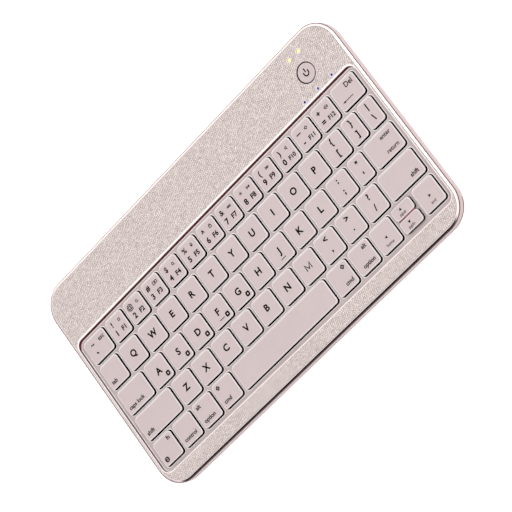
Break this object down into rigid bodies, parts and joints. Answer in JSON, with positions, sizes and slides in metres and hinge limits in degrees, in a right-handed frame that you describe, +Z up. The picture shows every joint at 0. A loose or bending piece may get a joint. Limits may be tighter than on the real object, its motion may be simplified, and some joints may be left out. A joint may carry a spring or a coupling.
{
  "type": "tablet keyboard case",
  "caption": "Slim wireless keyboard slab of a tablet keyboard case: grained rose-gold frame with a polished chamfer, sunken key field with sprung keys, power button and indicator lights.",
  "frame": {"origin": "middle of the footprint, on the surface the feet stand on", "axes": "+X to the typist's right, +Y away from the typist towards the tablet edge, +Z up"},
  "size_m": [0.2462, 0.1376, 0.0066],
  "materials": {
    "grained_top": "pale rose-gold with a fine leather-like grain, polished chamfer",
    "shell": "rose-gold satin",
    "key_web": "pale rose satin",
    "keycap": "pale rose satin with dark printed legends",
    "power_button": "pale rose satin with a dark printed symbol",
    "silicone": "milky",
    "film": "printed polyester film",
    "steel_plate": "plain sheet",
    "board": "solder mask",
    "battery": "foil pouch",
    "amber_light": "clear, lit amber",
    "blue_light": "clear, blue",
    "socket_steel": "pressed plate",
    "foot_rubber": "matte"
  },
  "bodies": {
    "slab": {"bottom_cover": "shell", "top_frame": "grained_top", "key_web": "key_web", "dome_sheet": "silicone", "membrane_sheet": "film", "support_plate": "steel_plate", "circuit_board": "board", "battery": "battery", "charge_light_guide": "amber_light", "lock_light_guide": "blue_light", "charge_socket": "socket_steel", "front_foot_strip": "foot_rubber", "rear_foot_strip": "foot_rubber"},
    "a_key_body": {"a_key": "keycap"},
    "b_key_body": {"b_key": "keycap"},
    "c_key_body": {"c_key": "keycap"},
    "caps_lock_key_body": {"caps_lock_key": "keycap"},
    "control_key_body": {"control_key": "keycap"},
    "d_key_body": {"d_key": "keycap"},
    "delete_key_body": {"delete_key": "keycap"},
    "down_arrow_key_body": {"down_arrow_key": "keycap"},
    "e_key_body": {"e_key": "keycap"},
    "enter_key_body": {"enter_key": "keycap"},
    "esc_key_body": {"esc_key": "keycap"},
    "f_key_body": {"f_key": "keycap"},
    "fn_key_body": {"fn_key": "keycap"},
    "g_key_body": {"g_key": "keycap"},
    "h_key_body": {"h_key": "keycap"},
    "i_key_body": {"i_key": "keycap"},
    "j_key_body": {"j_key": "keycap"},
    "k_key_body": {"k_key": "keycap"},
    "l_key_body": {"l_key": "keycap"},
    "left_arrow_key_body": {"left_arrow_key": "keycap"},
    "left_command_key_body": {"left_command_key": "keycap"},
    "left_option_key_body": {"left_option_key": "keycap"},
    "left_shift_key_body": {"left_shift_key": "keycap"},
    "m_key_body": {"m_key": "keycap"},
    "n_key_body": {"n_key": "keycap"},
    "number_keys_body": {"number_keys": "keycap"},
    "o_key_body": {"o_key": "keycap"},
    "p_key_body": {"p_key": "keycap"},
    "punctuation_keys_body": {"punctuation_keys": "keycap"},
    "q_key_body": {"q_key": "keycap"},
    "r_key_body": {"r_key": "keycap"},
    "right_arrow_key_body": {"right_arrow_key": "keycap"},
    "right_command_key_body": {"right_command_key": "keycap"},
    "right_option_key_body": {"right_option_key": "keycap"},
    "right_shift_key_body": {"right_shift_key": "keycap"},
    "s_key_body": {"s_key": "keycap"},
    "space_key_body": {"space_key": "keycap"},
    "t_key_body": {"t_key": "keycap"},
    "tab_key_body": {"tab_key": "keycap"},
    "u_key_body": {"u_key": "keycap"},
    "up_arrow_key_body": {"up_arrow_key": "keycap"},
    "v_key_body": {"v_key": "keycap"},
    "w_key_body": {"w_key": "keycap"},
    "x_key_body": {"x_key": "keycap"},
    "y_key_body": {"y_key": "keycap"},
    "z_key_body": {"z_key": "keycap"},
    "power_button_body": {"power_button": "power_button"}
  },
  "joints": [
    {"name": "a_key_press", "type": "slide", "parent": "slab", "child": "a_key_body", "axis": [0, 0, -1], "range_m": [0, 0.0012], "stiffness_N_per_m": 450, "springref_m": -0.0005, "deforming": ["dome_sheet"]},
    {"name": "b_key_press", "type": "slide", "parent": "slab", "child": "b_key_body", "axis": [0, 0, -1], "range_m": [0, 0.0012], "stiffness_N_per_m": 450, "springref_m": -0.0005},
    {"name": "c_key_press", "type": "slide", "parent": "slab", "child": "c_key_body", "axis": [0, 0, -1], "range_m": [0, 0.0012], "stiffness_N_per_m": 450, "springref_m": -0.0005},
    {"name": "caps_lock_key_press", "type": "slide", "parent": "slab", "child": "caps_lock_key_body", "axis": [0, 0, -1], "range_m": [0, 0.0012], "stiffness_N_per_m": 450, "springref_m": -0.0005},
    {"name": "control_key_press", "type": "slide", "parent": "slab", "child": "control_key_body", "axis": [0, 0, -1], "range_m": [0, 0.0012], "stiffness_N_per_m": 450, "springref_m": -0.0005},
    {"name": "d_key_press", "type": "slide", "parent": "slab", "child": "d_key_body", "axis": [0, 0, -1], "range_m": [0, 0.0012], "stiffness_N_per_m": 450, "springref_m": -0.0005},
    {"name": "delete_key_press", "type": "slide", "parent": "slab", "child": "delete_key_body", "axis": [0, 0, -1], "range_m": [0, 0.0012], "stiffness_N_per_m": 450, "springref_m": -0.0005},
    {"name": "down_arrow_key_press", "type": "slide", "parent": "slab", "child": "down_arrow_key_body", "axis": [0, 0, -1], "range_m": [0, 0.0012], "stiffness_N_per_m": 450, "springref_m": -0.0005},
    {"name": "e_key_press", "type": "slide", "parent": "slab", "child": "e_key_body", "axis": [0, 0, -1], "range_m": [0, 0.0012], "stiffness_N_per_m": 450, "springref_m": -0.0005},
    {"name": "enter_key_press", "type": "slide", "parent": "slab", "child": "enter_key_body", "axis": [0, 0, -1], "range_m": [0, 0.0012], "stiffness_N_per_m": 450, "springref_m": -0.0005},
    {"name": "esc_key_press", "type": "slide", "parent": "slab", "child": "esc_key_body", "axis": [0, 0, -1], "range_m": [0, 0.0012], "stiffness_N_per_m": 450, "springref_m": -0.0005},
    {"name": "f_key_press", "type": "slide", "parent": "slab", "child": "f_key_body", "axis": [0, 0, -1], "range_m": [0, 0.0012], "stiffness_N_per_m": 450, "springref_m": -0.0005},
    {"name": "fn_key_press", "type": "slide", "parent": "slab", "child": "fn_key_body", "axis": [0, 0, -1], "range_m": [0, 0.0012], "stiffness_N_per_m": 450, "springref_m": -0.0005},
    {"name": "g_key_press", "type": "slide", "parent": "slab", "child": "g_key_body", "axis": [0, 0, -1], "range_m": [0, 0.0012], "stiffness_N_per_m": 450, "springref_m": -0.0005},
    {"name": "h_key_press", "type": "slide", "parent": "slab", "child": "h_key_body", "axis": [0, 0, -1], "range_m": [0, 0.0012], "stiffness_N_per_m": 450, "springref_m": -0.0005},
    {"name": "i_key_press", "type": "slide", "parent": "slab", "child": "i_key_body", "axis": [0, 0, -1], "range_m": [0, 0.0012], "stiffness_N_per_m": 450, "springref_m": -0.0005},
    {"name": "j_key_press", "type": "slide", "parent": "slab", "child": "j_key_body", "axis": [0, 0, -1], "range_m": [0, 0.0012], "stiffness_N_per_m": 450, "springref_m": -0.0005},
    {"name": "k_key_press", "type": "slide", "parent": "slab", "child": "k_key_body", "axis": [0, 0, -1], "range_m": [0, 0.0012], "stiffness_N_per_m": 450, "springref_m": -0.0005},
    {"name": "l_key_press", "type": "slide", "parent": "slab", "child": "l_key_body", "axis": [0, 0, -1], "range_m": [0, 0.0012], "stiffness_N_per_m": 450, "springref_m": -0.0005},
    {"name": "left_arrow_key_press", "type": "slide", "parent": "slab", "child": "left_arrow_key_body", "axis": [0, 0, -1], "range_m": [0, 0.0012], "stiffness_N_per_m": 450, "springref_m": -0.0005},
    {"name": "left_command_key_press", "type": "slide", "parent": "slab", "child": "left_command_key_body", "axis": [0, 0, -1], "range_m": [0, 0.0012], "stiffness_N_per_m": 450, "springref_m": -0.0005},
    {"name": "left_option_key_press", "type": "slide", "parent": "slab", "child": "left_option_key_body", "axis": [0, 0, -1], "range_m": [0, 0.0012], "stiffness_N_per_m": 450, "springref_m": -0.0005},
    {"name": "left_shift_key_press", "type": "slide", "parent": "slab", "child": "left_shift_key_body", "axis": [0, 0, -1], "range_m": [0, 0.0012], "stiffness_N_per_m": 450, "springref_m": -0.0005},
    {"name": "m_key_press", "type": "slide", "parent": "slab", "child": "m_key_body", "axis": [0, 0, -1], "range_m": [0, 0.0012], "stiffness_N_per_m": 450, "springref_m": -0.0005},
    {"name": "n_key_press", "type": "slide", "parent": "slab", "child": "n_key_body", "axis": [0, 0, -1], "range_m": [0, 0.0012], "stiffness_N_per_m": 450, "springref_m": -0.0005},
    {"name": "number_keys_press", "type": "slide", "parent": "slab", "child": "number_keys_body", "axis": [0, 0, -1], "range_m": [0, 0.0012], "stiffness_N_per_m": 1800, "springref_m": -0.0005},
    {"name": "o_key_press", "type": "slide", "parent": "slab", "child": "o_key_body", "axis": [0, 0, -1], "range_m": [0, 0.0012], "stiffness_N_per_m": 450, "springref_m": -0.0005},
    {"name": "p_key_press", "type": "slide", "parent": "slab", "child": "p_key_body", "axis": [0, 0, -1], "range_m": [0, 0.0012], "stiffness_N_per_m": 450, "springref_m": -0.0005},
    {"name": "punctuation_keys_press", "type": "slide", "parent": "slab", "child": "punctuation_keys_body", "axis": [0, 0, -1], "range_m": [0, 0.0012], "stiffness_N_per_m": 1200, "springref_m": -0.0005},
    {"name": "q_key_press", "type": "slide", "parent": "slab", "child": "q_key_body", "axis": [0, 0, -1], "range_m": [0, 0.0012], "stiffness_N_per_m": 450, "springref_m": -0.0005},
    {"name": "r_key_press", "type": "slide", "parent": "slab", "child": "r_key_body", "axis": [0, 0, -1], "range_m": [0, 0.0012], "stiffness_N_per_m": 450, "springref_m": -0.0005},
    {"name": "right_arrow_key_press", "type": "slide", "parent": "slab", "child": "right_arrow_key_body", "axis": [0, 0, -1], "range_m": [0, 0.0012], "stiffness_N_per_m": 450, "springref_m": -0.0005},
    {"name": "right_command_key_press", "type": "slide", "parent": "slab", "child": "right_command_key_body", "axis": [0, 0, -1], "range_m": [0, 0.0012], "stiffness_N_per_m": 450, "springref_m": -0.0005},
    {"name": "right_option_key_press", "type": "slide", "parent": "slab", "child": "right_option_key_body", "axis": [0, 0, -1], "range_m": [0, 0.0012], "stiffness_N_per_m": 450, "springref_m": -0.0005},
    {"name": "right_shift_key_press", "type": "slide", "parent": "slab", "child": "right_shift_key_body", "axis": [0, 0, -1], "range_m": [0, 0.0012], "stiffness_N_per_m": 450, "springref_m": -0.0005},
    {"name": "s_key_press", "type": "slide", "parent": "slab", "child": "s_key_body", "axis": [0, 0, -1], "range_m": [0, 0.0012], "stiffness_N_per_m": 450, "springref_m": -0.0005},
    {"name": "space_key_press", "type": "slide", "parent": "slab", "child": "space_key_body", "axis": [0, 0, -1], "range_m": [0, 0.0012], "stiffness_N_per_m": 600, "springref_m": -0.0005},
    {"name": "t_key_press", "type": "slide", "parent": "slab", "child": "t_key_body", "axis": [0, 0, -1], "range_m": [0, 0.0012], "stiffness_N_per_m": 450, "springref_m": -0.0005},
    {"name": "tab_key_press", "type": "slide", "parent": "slab", "child": "tab_key_body", "axis": [0, 0, -1], "range_m": [0, 0.0012], "stiffness_N_per_m": 450, "springref_m": -0.0005},
    {"name": "u_key_press", "type": "slide", "parent": "slab", "child": "u_key_body", "axis": [0, 0, -1], "range_m": [0, 0.0012], "stiffness_N_per_m": 450, "springref_m": -0.0005},
    {"name": "up_arrow_key_press", "type": "slide", "parent": "slab", "child": "up_arrow_key_body", "axis": [0, 0, -1], "range_m": [0, 0.0012], "stiffness_N_per_m": 450, "springref_m": -0.0005},
    {"name": "v_key_press", "type": "slide", "parent": "slab", "child": "v_key_body", "axis": [0, 0, -1], "range_m": [0, 0.0012], "stiffness_N_per_m": 450, "springref_m": -0.0005},
    {"name": "w_key_press", "type": "slide", "parent": "slab", "child": "w_key_body", "axis": [0, 0, -1], "range_m": [0, 0.0012], "stiffness_N_per_m": 450, "springref_m": -0.0005},
    {"name": "x_key_press", "type": "slide", "parent": "slab", "child": "x_key_body", "axis": [0, 0, -1], "range_m": [0, 0.0012], "stiffness_N_per_m": 450, "springref_m": -0.0005},
    {"name": "y_key_press", "type": "slide", "parent": "slab", "child": "y_key_body", "axis": [0, 0, -1], "range_m": [0, 0.0012], "stiffness_N_per_m": 450, "springref_m": -0.0005},
    {"name": "z_key_press", "type": "slide", "parent": "slab", "child": "z_key_body", "axis": [0, 0, -1], "range_m": [0, 0.0012], "stiffness_N_per_m": 450, "springref_m": -0.0005},
    {"name": "power_button_press", "type": "slide", "parent": "slab", "child": "power_button_body", "axis": [0, 0, -1], "range_m": [0, 0.0004], "stiffness_N_per_m": 2000, "springref_m": -0.0003}
  ]
}
